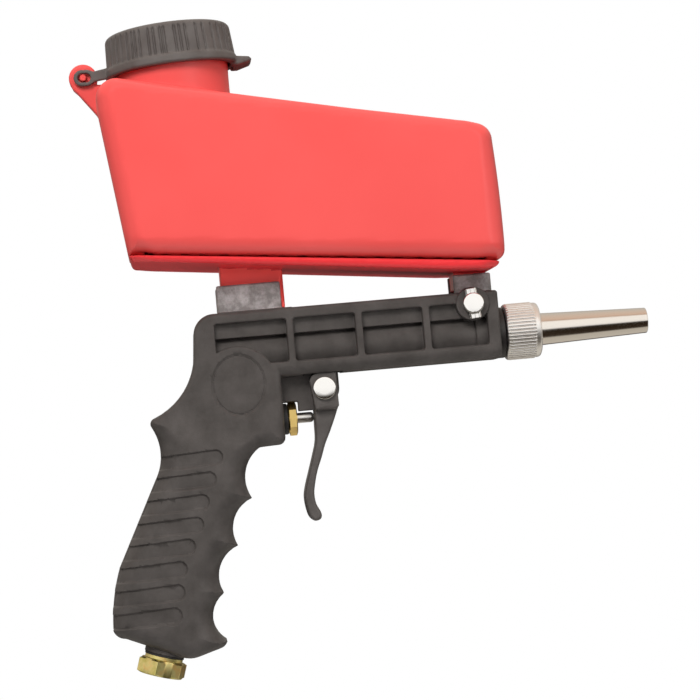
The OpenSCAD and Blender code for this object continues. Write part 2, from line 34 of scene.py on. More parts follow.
camera = bpy.data.objects.new("camera", bpy.data.cameras.new("camera"))
bpy.context.scene.collection.objects.link(camera)
camera.location = (0.015, -1.000, 0.098)
camera.rotation_mode = "QUATERNION"
aim = Vector((0.0950, 0.0, 0.1338)) - camera.location
camera.rotation_quaternion = aim.to_track_quat("-Z", "Y") @ Quaternion((0, 0, 1), math.radians(-5.1))
camera.data.sensor_width = 36
camera.data.lens = 117.3
camera.data.clip_start = 0.01
bpy.context.scene.camera = camera

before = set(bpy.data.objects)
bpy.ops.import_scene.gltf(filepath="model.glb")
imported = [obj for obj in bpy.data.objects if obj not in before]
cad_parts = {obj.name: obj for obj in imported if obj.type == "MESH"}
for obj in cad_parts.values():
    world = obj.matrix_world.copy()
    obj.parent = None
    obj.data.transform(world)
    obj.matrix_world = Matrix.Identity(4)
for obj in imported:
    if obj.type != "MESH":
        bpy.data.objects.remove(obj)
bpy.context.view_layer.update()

# ---------- materials ----------


def plain(name, color, rough, metal=0.0, **extra):
    """A Principled material whose uniform values sit on the shader's own sockets."""
    m = bpy.data.materials.new(name)
    m.use_nodes = True
    shader = m.node_tree.nodes["Principled BSDF"]
    shader.inputs["Base Color"].default_value = (*color, 1)
    shader.inputs["Roughness"].default_value = rough
    shader.inputs["Metallic"].default_value = metal
    for key, value in extra.items():
        shader.inputs[key.replace("_", " ")].default_value = value
    return m


def noise(m, scale, detail=4.0, rough=0.6, stretch=None):
    nodes, links = m.node_tree.nodes, m.node_tree.links
    place = nodes.new("ShaderNodeTexCoord")
    tex = nodes.new("ShaderNodeTexNoise")
    tex.inputs["Scale"].default_value = scale
    tex.inputs["Detail"].default_value = detail
    tex.inputs["Roughness"].default_value = rough
    source = place.outputs["Object"]
    if stretch:
        mapping = nodes.new("ShaderNodeMapping")
        mapping.inputs["Scale"].default_value = stretch
        links.new(source, mapping.inputs["Vector"])
        source = mapping.outputs["Vector"]
    links.new(source, tex.inputs["Vector"])
    return tex.outputs["Fac"]


def ramp(m, fac, stops):
    node = m.node_tree.nodes.new("ShaderNodeValToRGB")
    elements = node.color_ramp.elements
    while len(elements) < len(stops):
        elements.new(0.5)
    for e, (at, color) in zip(elements, stops):
        e.position = at
        e.color = (*color, 1)
    m.node_tree.links.new(fac, node.inputs["Fac"])
    return node.outputs["Color"]


def vary_color(m, fac, stops):
    m.node_tree.links.new(ramp(m, fac, stops), m.node_tree.nodes["Principled BSDF"].inputs["Base Color"])


def vary_rough(m, fac, low, high):
    node = m.node_tree.nodes.new("ShaderNodeMapRange")
    node.inputs["From Min"].default_value = 0.3
    node.inputs["From Max"].default_value = 0.7
    node.inputs["To Min"].default_value = low
    node.inputs["To Max"].default_value = high
    m.node_tree.links.new(fac, node.inputs["Value"])
    m.node_tree.links.new(node.outputs["Result"], m.node_tree.nodes["Principled BSDF"].inputs["Roughness"])


def bump(m, fac, strength, distance):
    node = m.node_tree.nodes.new("ShaderNodeBump")
    node.inputs["Strength"].default_value = strength
    node.inputs["Distance"].default_value = distance
    m.node_tree.links.new(fac, node.inputs["Height"])
    m.node_tree.links.new(node.outputs["Normal"], m.node_tree.nodes["Principled BSDF"].inputs["Normal"])


body_mat = plain("nylon_body", (0.080, 0.070, 0.065), 0.5, Specular_IOR_Level=0.28)
vary_color(body_mat, noise(body_mat, 90, 6, 0.65),
           [(0.32, (0.042, 0.037, 0.034)), (0.70, (0.070, 0.062, 0.058))])
vary_rough(body_mat, noise(body_mat, 60, 5, 0.6), 0.40, 0.58)
bump(body_mat, noise(body_mat, 1500, 3, 0.6), 0.12, 0.0003)

bracket_mat = plain("nylon_bracket", (0.24, 0.22, 0.21), 0.40, Specular_IOR_Level=0.6)
vary_color(bracket_mat, noise(bracket_mat, 110, 6, 0.7),
           [(0.40, (0.150, 0.134, 0.130)), (0.60, (0.340, 0.315, 0.310))])
bump(bracket_mat, noise(bracket_mat, 1300, 3, 0.6), 0.2, 0.0003)

lid_mat = plain("lid_plastic", (0.095, 0.083, 0.078), 0.42, Specular_IOR_Level=0.5)
vary_color(lid_mat, noise(lid_mat, 120, 5, 0.6),
           [(0.3, (0.060, 0.050, 0.046)), (0.7, (0.086, 0.075, 0.070))])

# A near-black copy of the body's nylon for the collar between barrel and nut: painted shade.
collar_shade_mat = plain("nylon_collar_painted_shade", (0.014, 0.012, 0.012), 0.45)
bump(collar_shade_mat, noise(collar_shade_mat, 1200, 3, 0.6), 0.1, 0.0003)

trigger_mat = plain("trigger_plastic", (0.085, 0.074, 0.070), 0.42, Specular_IOR_Level=0.5)
vary_color(trigger_mat, noise(trigger_mat, 150, 5, 0.6),
           [(0.3, (0.045, 0.039, 0.036)), (0.7, (0.070, 0.062, 0.058))])
bump(trigger_mat, noise(trigger_mat, 1500, 3, 0.6), 0.10, 0.0003)

hopper_mat = plain("hopper_plastic", (0.80, 0.075, 0.065), 0.36, Specular_IOR_Level=0.45)
vary_color(hopper_mat, noise(hopper_mat, 12, 3, 0.5),
           [(0.3, (0.62, 0.058, 0.053)), (0.7, (0.68, 0.076, 0.070))])
vary_rough(hopper_mat, noise(hopper_mat, 40, 5, 0.6), 0.32, 0.44)
bump(hopper_mat, noise(hopper_mat, 20, 3, 0.5), 0.25, 0.0010)

base_mat = plain("hopper_base_plastic", (0.66, 0.030, 0.035), 0.34, Specular_IOR_Level=0.35)
# A brighter copy of the hopper base's red for its feet: painted light, standing in for the front light the
# feet catch under the hopper.
foot_lit_mat = plain("hopper_foot_painted_light", (0.95, 0.085, 0.075), 0.36, Specular_IOR_Level=0.45)
bump(foot_lit_mat, noise(foot_lit_mat, 25, 3, 0.5), 0.2, 0.0008)
bump(base_mat, noise(base_mat, 25, 3, 0.5), 0.2, 0.0008)

chrome_mat = plain("chrome", (0.90, 0.90, 0.90), 0.12, 1.0)
nut_mat = plain("satin_chrome", (0.96, 0.95, 0.945), 0.42, 1.0)
vary_rough(nut_mat, noise(nut_mat, 260, 4, 0.6), 0.36, 0.46)
nozzle_mat = plain("nickel", (0.80, 0.76, 0.72), 0.16, 1.0)
vary_rough(nozzle_mat, noise(nozzle_mat, 300, 4, 0.6, (0.1, 1, 1)), 0.12, 0.22)
zinc_mat = plain("yellow_zinc", (0.80, 0.70, 0.28), 0.40, 1.0)
vary_color(zinc_mat, noise(zinc_mat, 160, 4, 0.6),
           [(0.38, (0.70, 0.65, 0.22)), (0.52, (0.86, 0.77, 0.34)), (0.66, (0.94, 0.66, 0.24))])
steel_mat = plain("steel", (0.80, 0.79, 0.78), 0.32, 1.0)
brass_mat = plain("brass", (0.90, 0.66, 0.24), 0.32, 1.0)
dark_steel_mat = plain("dark_steel", (0.10, 0.10, 0.11), 0.35, 1.0)
rubber_mat = plain("rubber", (0.018, 0.018, 0.018), 0.55)
fibre_mat = plain("fibre", (0.35, 0.14, 0.07), 0.8)
for m in (chrome_mat, steel_mat, brass_mat, dark_steel_mat):
    own = m.node_tree.nodes["Principled BSDF"].inputs["Roughness"].default_value
    vary_rough(m, noise(m, 200, 3, 0.5), own * 0.8, own * 1.3)
for m in (rubber_mat, fibre_mat):
    bump(m, noise(m, 900, 3, 0.5), 0.1, 0.0003)

NODE_LOOK = {
    "gun_body": body_mat, "inlet_fitting": zinc_mat, "inlet_washer": rubber_mat, "valve_seat": brass_mat,
    "valve_stem": steel_mat, "valve_poppet": brass_mat, "poppet_seal": rubber_mat, "valve_spring": steel_mat,
    "gland_nut": brass_mat, "gland_washer": rubber_mat, "stem_seal": rubber_mat, "trigger": trigger_mat,
    "trigger_pin": chrome_mat, "pin_clip": dark_steel_mat, "regulator_shaft": chrome_mat,
    "regulator_seals": rubber_mat, "regulator_clip": dark_steel_mat, "air_jet": brass_mat,
    "jet_seal": rubber_mat, "nozzle": nozzle_mat, "nozzle_nut": chrome_mat, "nozzle_washer": fibre_mat,
    "hopper_shell": hopper_mat, "hopper_base": base_mat, "hopper_lid": lid_mat, "spout_seal": rubber_mat,
    "hopper_screw": steel_mat, "screw_washer": rubber_mat,
}
for name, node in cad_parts.items():
    node.data.materials.clear()
    node.data.materials.append(NODE_LOOK[name])

# ---------- outlines ----------


def bow(p, q, sag, n=10):
    """Points along the arc from p towards q, which it leaves out. Positive sag bows it to the left."""
    p, q = np.array(p, float), np.array(q, float)
    chord = q - p
    length = np.hypot(*chord)
    left = np.array([-chord[1], chord[0]]) / length
    r = (length * length / 4 + sag * sag) / (2 * abs(sag))
    sign = math.copysign(1, sag)
    centre = (p + q) / 2 + left * (sag - sign * r)
    start = math.atan2(p[1] - centre[1], p[0] - centre[0])
    sweep = -sign * 2 * math.asin(min(1, length / (2 * r)))
    return [tuple(centre + r * np.array([math.cos(start + sweep * i / n), math.sin(start + sweep * i / n)]))
            for i in range(n)]


def smooth_line(points, n=4):
    """A Catmull-Rom curve through the points, which leaves out the last one."""
    p = [np.array(v, float) for v in points]
    p = [2 * p[0] - p[1]] + p + [2 * p[-1] - p[-2]]
    out = []
    for i in range(1, len(p) - 2):
        a, b, c, d = p[i - 1:i + 3]
        for k in range(n):
            t = k / n
            out.append(tuple(0.5 * (2 * b + (c - a) * t + (2 * a - 5 * b + 4 * c - d) * t * t
                                    + (3 * b - a - 3 * c + d) * t ** 3)))
    return out


# ---------- signed distances, in millimetres ----------


def outline_distance(x, z, pts):
    """Signed distance to a closed outline, negative inside."""
    pts = np.array(pts, float)
    best = np.full(np.broadcast(x, z).shape, 1e9, np.float32)
    inside = np.zeros(best.shape, bool)
    for a, b in zip(pts, np.roll(pts, -1, axis=0)):
        e = b - a
        if abs(e).max() < 1e-9:
            continue
        wx, wz = x - a[0], z - a[1]
        t = np.clip((wx * e[0] + wz * e[1]) / (e @ e), 0, 1)
        best = np.minimum(best, (wx - e[0] * t) ** 2 + (wz - e[1] * t) ** 2)
        crosses = (a[1] > z) != (b[1] > z)
        if a[1] != b[1]:
            inside ^= crosses & (x < a[0] + (z - a[1]) * e[0] / e[1])
    return np.where(inside, -np.sqrt(best), np.sqrt(best))


def smin(a, b, k):
    h = np.clip(0.5 + 0.5 * (b - a) / k, 0, 1)
    return b * (1 - h) + a * h - k * h * (1 - h)


def smax(a, b, k):
    return -smin(-a, -b, k)


def step(low, high, v):
    t = np.clip((v - low) / (high - low), 0, 1)
    return t * t * (3 - 2 * t)


def slab(d2, ay, half, r):
    """A side view d2 made into a slab whose edges are rounded with radius r."""
    a, b = d2 + r, ay - half + r
    return np.sqrt(np.maximum(a, 0) ** 2 + np.maximum(b, 0) ** 2) + np.minimum(np.maximum(a, b), 0) - r


def box(x, y, z, low, high, r):
    parts = []
    for v, l, h in zip((x, y, z), low, high):
        parts.append(abs(v - (l + h) / 2) - (h - l) / 2 + r)
    a, b, c = parts
    return (np.sqrt(np.maximum(a, 0) ** 2 + np.maximum(b, 0) ** 2 + np.maximum(c, 0) ** 2)
            + np.minimum(np.maximum(np.maximum(a, b), c), 0) - r)


def rect(x, z, low, high, r):
    a = abs(x - (low[0] + high[0]) / 2) - (high[0] - low[0]) / 2 + r
    b = abs(z - (low[1] + high[1]) / 2) - (high[1] - low[1]) / 2 + r
    return np.sqrt(np.maximum(a, 0) ** 2 + np.maximum(b, 0) ** 2) + np.minimum(np.maximum(a, b), 0) - r


def rod(radial, along, low, high, r, edge=0.3):
    a, b = radial - r + edge, abs(along - (low + high) / 2) - (high - low) / 2 + edge
    return np.sqrt(np.maximum(a, 0) ** 2 + np.maximum(b, 0) ** 2) + np.minimum(np.maximum(a, b), 0) - edge


def sculpt(name, shape, low, high, voxel, adapt, body, material, slot, *nodes):
    """Meshes shape(x, y, z) <= 0 and pulls each vertex and its normal onto the exact surface."""
    low, high = np.array(low, float), np.array(high, float)
    count = np.ceil((high - low) / voxel).astype(int) + 1
    x, y, z = [(low[i] + voxel * np.arange(count[i])).astype(np.float32) for i in range(3)]
    d = shape(x[:, None, None], y[None, :, None], z[None, None, :])
    d = np.broadcast_to(d, count).astype(np.float32) / voxel
    grid = openvdb.FloatGrid(3.0)
    grid.copyFromArray(np.ascontiguousarray(np.clip(d, -3, 3)))
    pts, tris, quads = grid.convertToPolygons(isovalue=0.0, adaptivity=adapt)
    pts = pts.astype(np.float64) * voxel + low
    eps = 0.02

    def slope(p):
        g = np.empty_like(p)
        for i in range(3):
            o = np.zeros(3)
            o[i] = eps
            g[:, i] = shape(*(p + o).T) - shape(*(p - o).T)
        return g / (2 * eps)

    for _ in range(3):
        g = slope(pts)
        value = np.asarray(shape(*pts.T), float)
        move = value[:, None] * g / np.maximum((g * g).sum(1), 0.2)[:, None]
        length = np.linalg.norm(move, axis=1)
        move *= np.minimum(1, 0.5 * voxel / np.maximum(length, 1e-9))[:, None]
        pts -= move
    g = slope(pts)
    normals = g / np.maximum(np.linalg.norm(g, axis=1), 1e-9)[:, None]
    faces = [tuple(int(v) for v in f) for f in tris] + [tuple(int(v) for v in f) for f in quads]
    mesh = bpy.data.meshes.new(name)
    mesh.from_pydata((pts * MM).tolist(), [], faces)
    mesh.update()
    # openvdb's winding is checked against the true normals
    votes = 0
    for f in list(mesh.polygons)[::97]:
        votes += 1 if Vector(normals[f.vertices[0]]).dot(f.normal) > 0 else -1
    if votes < 0:
        mesh.flip_normals()
    mesh.polygons.foreach_set("use_smooth", [True] * len(mesh.polygons))
    mesh.normals_split_custom_set_from_vertices(normals.tolist())
    return finish_piece(name, mesh, body, material, slot, *nodes)


def finish_piece(name, mesh, body, material, slot, *nodes):
    obj = bpy.data.objects.new(name, mesh)
    bpy.context.scene.collection.objects.link(obj)
    if material:
        mesh.materials.append(material)
    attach(obj, body)
    if nodes:
        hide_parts(*nodes)
    print(name, len(mesh.vertices), "vertices", sum(len(f.vertices) - 2 for f in mesh.polygons), "triangles")
    return obj


# ---------- body ----------

NOSE = 63.0
BARREL_FRONT, BARREL_TOP, BARREL_LOW, HALF = 160.5, 154.1, 124.3, 14.0
BORE_Z = 135.7
PEAK = np.array([46.3, 73.1])
PEAK_STEP = np.array([-7.85, -19.95])
TOE, HEEL, TAIL = (30.3, 12.5), (-18.5, 22.0), (5.3, 107.7)

body_outline = (
    [(NOSE, 127)]
    + bow((NOSE, 98.4), (59.8, 95.0), 1.0)
    + bow((51.4, 94.7), PEAK, -4.5)
    + bow(PEAK, PEAK + PEAK_STEP, -4.9)
    + bow(PEAK + PEAK_STEP, PEAK + 2 * PEAK_STEP, -4.9)
    + bow(PEAK + 2 * PEAK_STEP, TOE, -5.5)
    + bow(TOE, (26.3, 9.5), 0.7)
    + bow((17.5, 6.9), (9.5, 7.6), 0.7)
    + bow((-13.2, 17.6), HEEL, 1.2)
    + bow(HEEL, (-12.5, 50.7), 1.3)
    + bow((5.1, 84.4), TAIL, -3.2)
    + bow(TAIL, (7.0, 111.2), 0.9)
    + bow((7.0, 111.2), (26.4, 137.8), -4.8)
    + bow((27.1, 146.9), (36.0, BARREL_TOP), 2.0)
    + [(36, BARREL_TOP), (70, BARREL_TOP), (70, 127)]
)
# Front end and middle height of each slot in the grip's sides
SLOTS = [(34.9, 92.3), (31.3, 83.1), (27.5, 73.6), (24.2, 64.1), (19.9, 55.0), (15.6, 45.7), (13.8, 35.9),
         (11.7, 26.1)]
# Rear and front end of each pocket
POCKETS = [(36.1, 67.3), (70.3, 97.3), (100.4, 126.8), (129.9, 155.1)]
REG_X, REG_Z = 149.1, 148.9
PIN_X, PIN_Z = 81.6, 117.9
VALVE_Z = 106.0
TILT = math.radians(17)


def gun_shape(x, y, z):
    ay = abs(y)
    d2 = outline_distance(x, z, body_outline)
    along = z * math.cos(TILT) + x * math.sin(TILT)
    head = step(98, 113, along)
    low_end = step(34, 16, along)
    half = 15.4 - 1.4 * head - 1.0 * low_end
    edge = (10.5 - 3.0 * low_end) * (1 - head) + 2.2 * head
    edge = edge + 4.5 * step(113, 99, z) * step(42, 54, x) * head
    edge = np.maximum(edge, 1.2)
    d = slab(d2, ay, half, edge)
    # side slots that run out over the back of the grip
    cut = 1e3
    for i, (front, middle) in enumerate(SLOTS):
        h = 3.15 + 0.05 * i
        u = x - (front - h)
        w = z - (middle + 0.034 * (x - front))
        s = np.where(u > 0, np.sqrt(u * u + w * w) - h, abs(w) - (h + 0.016 * u))
        cut = np.minimum(cut, s)
    d = d + 1.0 * step(0.36, -0.36, cut) * step(0.5, 3.5, ay)
    # barrel
    barrel = box(x, y, z, (30, -HALF, BARREL_LOW), (BARREL_FRONT, HALF, BARREL_TOP), 1.3)
    barrel = smax(barrel, (ay - HALF + BARREL_LOW + 3.1 - z) * 0.7071, 1.2)
    barrel = smax(barrel, 62 - x, 2.0)
    d = smin(d, barrel, 1.0)
    # pockets around the tube
    disc2 = np.sqrt((x - 44.6) ** 2 + (z - 122.3) ** 2)
    pocket = 1e3
    for i, (left, right) in enumerate(POCKETS):
        p = rect(x, z, (left, 130.6), (right, 149.4), 1.2)
        if i == 0:
            p = smax(p, 16.7 - disc2, 0.8)
        pocket = np.minimum(pocket, p)
    tube = np.sqrt(y * y + (z - BORE_Z) ** 2) - 9.8
    core = smin(np.minimum(ay - 5, tube), np.maximum(ay - 10.6, 142.9 - z), 0.4)
    d = smax(d, -smax(pocket, -core, 0.5), 0.7)
    # sunk disc on each side
    oval = (np.sqrt(((x - 44.6) / 11.1) ** 2 + ((z - 122.3) / 12.7) ** 2) - 1) * 11.8
    d = d + (0.4 * step(0.25, -0.25, oval) + 0.35 * step(0.8, 0.2, abs(oval - 0.2))) * step(9, 12, ay)
    # web for the trigger's pin
    web2 = np.minimum(rect(x, z, (56, 108.9), (PIN_X, 130), 0.6),
                      np.minimum(np.sqrt((x - PIN_X) ** 2 + (z - PIN_Z) ** 2) - 7,
                                 rect(x, z, (PIN_X - 2, PIN_Z), (PIN_X + 7, 130), 0.5)))
    # room for the trigger's head under the barrel
    d = np.maximum(d, -box(x, y, z, (PIN_X - 8.6, -10.7, 110), (PIN_X + 8.6, 10.7, 126.3), 0.5))
    d = smin(d, slab(web2, ay, 3.5, 0.4), 0.5)
    # collar and snout
    across = np.sqrt(y * y + (z - BORE_Z) ** 2)
    d = np.minimum(d, rod(across, x, 150, 163.3, 11.2, 0.7))
    d = np.minimum(d, rod(across, x, 150, 171.1, 9.4, 0.3))
    # brackets
    rear = box(x, y, z, (38.4, -11, 150), (66.2, 11, 166), 0.8)
    rear = smax(rear, -box(x, y, z, (40.4, -9, BARREL_TOP), (70, 9, 170), 0.6), 0.4)
    d = smin(d, rear, 0.6)
    front2 = rect(x, ay, (130, -11), (158.9, 11), 4.0)
    front = smax(smax(front2, z - 162.2, 0.8), 142 - x, 0.6)
    front_space = box(x, y, z, (138, -9, BARREL_TOP), (156.9, 9, 170), 0.5)
    front = smax(front, -front_space, 0.4)
    front = np.maximum(front, 150 - z)
    d = smin(d, front, 0.5)
    # boss of the regulator
    reg = np.sqrt((x - REG_X) ** 2 + (z - REG_Z) ** 2)
    boss = rod(reg, y, -15, 15, 7.3, 0.5)
    boss = np.maximum(boss, -front_space)
    d = smin(d, boss, 0.5)
    # bores
    d = np.maximum(d, 3.95 - reg)
    d = np.maximum(d, 2.5 - np.sqrt((x - PIN_X) ** 2 + (z - PIN_Z) ** 2))
    d = np.maximum(d, -rod(across, x, 110, 175, 6.9, 0.1))
    valve = np.sqrt(y * y + (z - VALVE_Z) ** 2)
    d = np.maximum(d, -rod(valve, x, 44, 70, 5.5, 0.1))
    stem = x * math.sin(TILT) + z * math.cos(TILT)
    off = np.sqrt((x * math.cos(TILT) - z * math.sin(TILT)) ** 2 + y * y)
    d = np.minimum(d, rod(off, stem, 9.4, 14, 8.9, 0.1))
    d = np.maximum(d, -rod(off, stem, -5, 9.4, 8.9, 0.1))
    d = np.maximum(d, -rod(off, stem, -5, 22, 7.5, 0.1))
    d = np.maximum(d, -rod(valve, x, NOSE, 70, 7.8, 0.2))
    d = np.maximum(d, -rod(np.sqrt((x - REG_X) ** 2 + y * y), z, 140, 156, 3.2, 0.1))
    return d


gun = sculpt("gun_shell", gun_shape, (-22, -17, 2), (174, 17, 168), 0.46, 0.015,
             "gun", body_mat, "body", "gun_body")
gun.data.materials.append(bracket_mat)
gun.data.materials.append(collar_shade_mat)
BRACKETS_ABOVE, BRACKET_HALF, COLLAR_BEYOND = 154.4, 11.2, 160.65
# Faces above the barrel between the brackets take the lighter bracket grey. Faces in front of the barrel, on
# the collar, take the near-black, which is painted shade.
for f in gun.data.polygons:
    if f.center.z > BRACKETS_ABOVE * MM and abs(f.center.y) < BRACKET_HALF * MM:
        f.material_index = 1
    if f.center.x > COLLAR_BEYOND * MM:
        f.material_index = 2

# ---------- hopper ----------

JOINT_REAR, JOINT_FRONT = np.array([1.9, 181.3]), np.array([161.2, 165.9])
shell_outline = (
    bow((159.5, 166.2), (164.0, 171.0), -1.4, 6)
    + bow((164.0, 175.0), (162.6, 218.0), -0.35, 6)
    + bow((162.6, 218.0), (154.2, 226.2), -2.8, 8)
    + [(103.0, 236.3), (51.3, 246.9)]
    + bow((3.0, 257.2), (-6.1, 248.0), -3.2, 10)
    + [(-6.0, 243.5), (1.9, 181.3)]
)
NECK_X, NECK_R = 27.3, 25.0
LUG = (-11.3, 262.1)
lug_web = [(-15.7, 257.7), (-5.4, 244.0), (0, 248), (1, 256.4), (-3.6, 259.0)]


def above_joint(x, z):
    t = (x - JOINT_REAR[0]) / (JOINT_FRONT[0] - JOINT_REAR[0])
    return z - (JOINT_REAR[1] + t * (JOINT_FRONT[1] - JOINT_REAR[1]))


def shell_skin(x, y, z):
    ay = abs(y)
    d2 = outline_distance(x, z, shell_outline)
    up = above_joint(x, z)
    left = 1.9 - (z - 181.3) * 7.9 / 62.2
    ends = np.minimum(x - left, 163.6 - x)
    edge = 4.5 + 4.0 * step(13, 4, ends)
    half = 32 - 3.6 * np.clip(1 - up / 7.5, 0, 1) ** 1.6 + 0.35 * np.sin((up - 5) / 70 * np.pi)
    return slab(d2, ay, half, edge)


def shell_shape(x, y, z):
    ay = abs(y)
    skin = shell_skin(x, y, z)
    neck_off = np.sqrt((x - NECK_X) ** 2 + y * y)
    neck = rod(neck_off + np.clip(z - 264, 0, 12) / 12, z, 236, 276, NECK_R, 0.8)
    d = smin(skin, neck, 1.5)
    lug2 = smin(np.sqrt((x - LUG[0]) ** 2 + (z - LUG[1]) ** 2) - 6.2, outline_distance(x, z, lug_web), 1.5)
    d = smin(d, slab(lug2, ay, 3.0, 0.8), 0.8)
    stud = np.sqrt((x - LUG[0]) ** 2 + (z - LUG[1]) ** 2)
    d = np.minimum(d, rod(stud, y, -4.9, 0, 1.6, 0.4))
    inner = np.maximum(skin + 2.2, 1.0 - above_joint(x, z))
    inner = np.minimum(inner, rod(neck_off, z, 232, 290, 22.5, 0.3))
    d = smax(d, -inner, 0.6)
    opening = np.maximum(np.maximum(ay - 25.3, x - 155.0), 9.0 - x)
    opening = np.maximum(opening, above_joint(x, z) - 4)
    d = np.maximum(d, -opening)
    return np.maximum(d, 0.15 - above_joint(x, z))


sculpt("hopper_upper", shell_shape, (-19, -34, 160), (166, 34, 278), 0.8, 0.04, "gun",
       hopper_mat, "hopper", "hopper_shell")

base_outline = (
    [(8, 190), (1.9, 181.5)]
    + bow((2.6, 179.9), (5.2, 178.3), -0.5, 6)
    + [(138.7, 163.9), (154.8, 163.0)]
    + bow((157.3, 163.3), (161.4, 166.6), -1.2, 8)
    + [(161.4, 168), (157, 175)]
)


def base_shape(x, y, z):
    ay = abs(y)
    up = above_joint(x, z)
    d2 = outline_distance(x, z, base_outline)
    edge = 2.4 + 3.5 * step(10, 3, np.minimum(x - 2, 161.4 - x))
    d = slab(d2, ay, 28.9, edge)
    d = smax(d, up + 0.1, 0.7)
    inside = slab(d2, ay, 28.9, 2.4) + 1.9
    d = np.maximum(d, -inside)
    rear = box(x, y, z, (40.6, -8.8, 154.3), (67.8, 8.8, 174.3 - 0.105 * (x - 41.1)), 0.8)
    front = box(x, y, z, (142.6, -8.8, 155.5), (156.7, 8.8, 164.5), 0.8)
    d = smin(d, np.minimum(rear, front), 1.0)
    d = np.maximum(d, -rod(np.sqrt((x - REG_X) ** 2 + y * y), z, 150, 176, 4.5, 0.3))
    d = np.maximum(d, -rod(np.sqrt((x - 50) ** 2 + y * y), z, 150, 178, 2.7, 0.1))
    return d


base = sculpt("hopper_lower", base_shape, (0, -31, 152), (163, 31, 184), 0.65, 0.03,
              "gun", base_mat, "hopper_base", "hopper_base")
base.data.materials.append(foot_lit_mat)
FOOT_HALF, UNDERSIDE_REAR, UNDERSIDE_FALL = 9.2, (4.9, 177.5), 0.107
# Faces of the feet, below the underside line, take the brighter red, which is painted light.
for f in base.data.polygons:
    underside = UNDERSIDE_REAR[1] * MM - (f.center.x - UNDERSIDE_REAR[0] * MM) * UNDERSIDE_FALL
    if abs(f.center.y) < FOOT_HALF * MM and f.center.z < underside:
        f.material_index = 1

# ---------- lid ----------

LID_R = 28.1
LID_TILT = math.radians(3.3)
LID_DRAFT = 0.07
edges = np.cumsum(rng.uniform(0.5, 1.7, 50))
edges = edges / edges[-1] * 2 * np.pi
edge_at = np.concatenate([[0], edges])


def flute(angle):
    """1 on a ridge and 0 in a groove, with ridges of uneven width."""
    a = np.mod(angle, 2 * np.pi)
    i = np.clip(np.searchsorted(edge_at, a) - 1, 0, len(edges) - 1)
    away = np.minimum(a - edge_at[i], edge_at[i + 1] - a) * LID_R
    return step(0.15, 0.80, away)


tab_outline = [(48, 265.6), (56.5, 266.2), (61.6, 265.9), (62.8, 264.8), (62.0, 263.5), (56.4, 261.9),
               (48, 262.4)]
EYE = (LUG[0] + 0.6, LUG[1] - 0.2)
strap_outline = [(-7.5, 264.2), (-2.0, 265.2), (4.5, 266.6), (6, 261.5), (-1.5, 260.6), (-7.5, 259.8)]


def lid_shape(x, y, z):
    ay = abs(y)
    # the cap's own axes, tilted on the neck
    dx, dz = x - NECK_X, z - 270.3
    cx = dx * math.cos(LID_TILT) + dz * math.sin(LID_TILT)
    cz = 270 + dz * math.cos(LID_TILT) - dx * math.sin(LID_TILT)
    off = np.sqrt(cx ** 2 + y * y)
    angle = np.arctan2(y, cx)
    groove = 0.75 * (1 - flute(angle)) * step(265.0, 266.4, cz) * step(279.0, 277.0, cz)
    wall = off - (LID_R + (270 - cz) * LID_DRAFT) + groove
    top = cz - (281.0 - off * off / 28 ** 2 * 1.3)
    d = smax(wall, top, 2.6)
    d = smax(d, 261.9 - cz, 0.5)
    rim = rod(off - (264 - cz) * 0.12, cz, 261.9, 265.8, 29.1, 1.0)
    d = smin(d, rim, 0.9)
    tab = slab(outline_distance(x, z, tab_outline), ay, 8.5 - 0.25 * np.clip(x - 55, 0, 10), 1.0)
    tab = smax(tab, 27 - off, 0.5)
    d = smin(d, tab, 0.9)
    eye = smin(np.sqrt(np.maximum(abs(x - EYE[0]) - 1.1, 0) ** 2 + (z - EYE[1]) ** 2) - 3.5,
               outline_distance(x, z, strap_outline), 1.0)
    link = slab(eye, abs(y + 4.6), 1.1, 0.5)
    link = smax(link, 27 - off, 0.3)
    d = smin(d, link, 0.7)
    slot = np.sqrt(np.maximum(abs(x - EYE[0]) - 0.85, 0) ** 2 + (z - EYE[1]) ** 2)
    d = smax(d, -rod(slot, y, -9, 9, 2.0, 0.1), 0.4)
    return smax(d, -rod(off, cz, 250, 277.6, 25.8, 0.5), 0.4)


sculpt("lid_cap", lid_shape, (-18, -31, 257), (66, 31, 285), 0.42, 0.02, "lid",
       lid_mat, "black_plastic", "hopper_lid")

# ---------- trigger ----------

trigger_block = (
    bow((86.0, 108.6), (87.4, 110.2), -0.3, 4)
    + [(87.4, 110), (87.2, 124.9)]
    + bow((79.8, 125.4), (75.4, 121.6), -0.8, 6)
    + [(75.4, 121.6), (76.9, 109.2), (77.4, 108.6)]
)
trigger_blade = smooth_line([
    (76.8, 112), (76.5, 103.1), (76.2, 95.6), (74.3, 88.9), (72.1, 82.2), (70.4, 77.0), (69.4, 72.9),
    (69.3, 69.7), (69.7, 66.4), (70.6, 62.9), (72.3, 60.9), (74.1, 60.8), (75.5, 61.6), (75.9, 63.2),
    (75.3, 65.2), (73.9, 68.2), (73.5, 72.5), (74.2, 76.7), (75.8, 82.4), (78.1, 88.0), (80.2, 93.7),
    (82.4, 98.2), (85.2, 104.4), (87.2, 109.6), (87.2, 112)], 3)


def trigger_shape(x, y, z):
    ay = abs(y)
    d = slab(outline_distance(x, z, trigger_block), ay, 10.0, 0.7)
    blade = slab(outline_distance(x, z, trigger_blade), ay, 6.0 + 0.06 * np.clip(85 - z, 0, 25) ** 0.9, 1.3)
    d = smin(d, blade, 0.8)
    off = np.sqrt((x - PIN_X) ** 2 + (z - PIN_Z) ** 2)
    room = np.minimum(off - 11.9, rect(x, z, (60, PIN_Z), (100, 140), 0))
    d = smax(d, -np.maximum(room, ay - 3.8), 0.3)
    return np.maximum(d, 2.55 - off)


sculpt("trigger_lever", trigger_shape, (67, -11.5, 58), (90, 11.5, 127), 0.32, 0.02,
       "trigger", trigger_mat, "black_plastic", "trigger")

# ---------- turned and knurled pieces ----------


